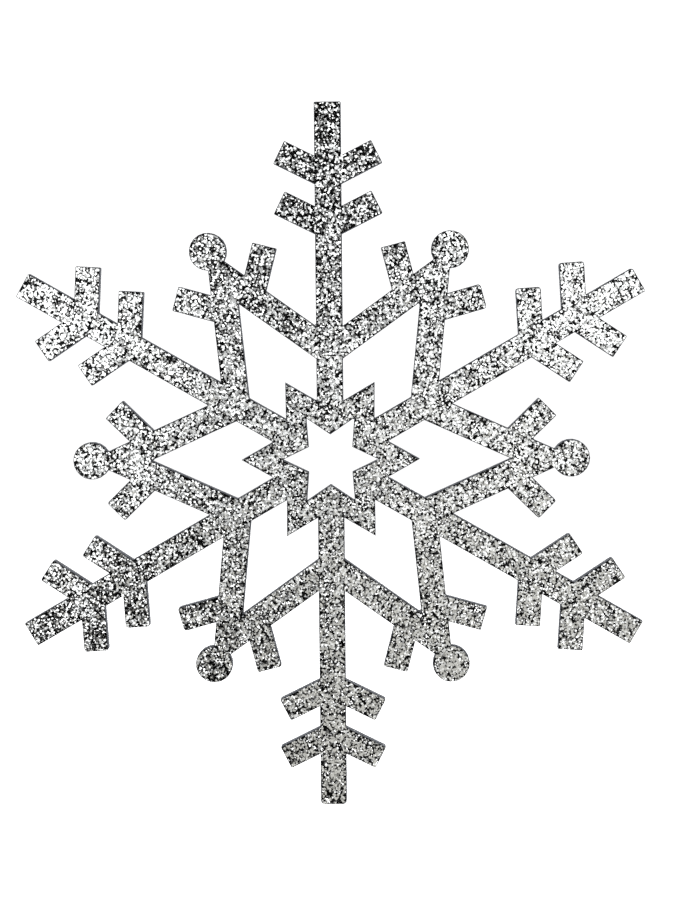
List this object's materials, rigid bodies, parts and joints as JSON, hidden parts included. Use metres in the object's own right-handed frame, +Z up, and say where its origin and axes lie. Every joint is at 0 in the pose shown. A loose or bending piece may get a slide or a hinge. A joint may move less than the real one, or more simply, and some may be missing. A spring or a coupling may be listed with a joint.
{
  "type": "snowflake decoration",
  "caption": "Flat six-armed snowflake cut-out with branched arms, round tips between the arms and a pierced star centre, faced on both sides with silver glitter.",
  "frame": {"origin": "middle of the cut-out: the centre of the star-shaped hole, halfway through the board", "axes": "+Z up along one arm, +X to the right seen from the front, -Y towards the viewer, out of the front glitter sheet"},
  "size_m": [0.2827, 0.0042, 0.32],
  "materials": {
    "silver_glitter_front": "silver glitter flakes about 1 mm across set in clear glue, sparkling, with dark gaps between the flakes",
    "board_core": "matte grey cut edge with a dusting of glitter",
    "silver_glitter_back": "silver glitter flakes about 1 mm across set in clear glue, sparkling, with dark gaps between the flakes"
  },
  "bodies": {
    "root": {"front_glitter_sheet": "silver_glitter_front", "core_board": "board_core", "back_glitter_sheet": "silver_glitter_back"}
  },
  "joints": []
}
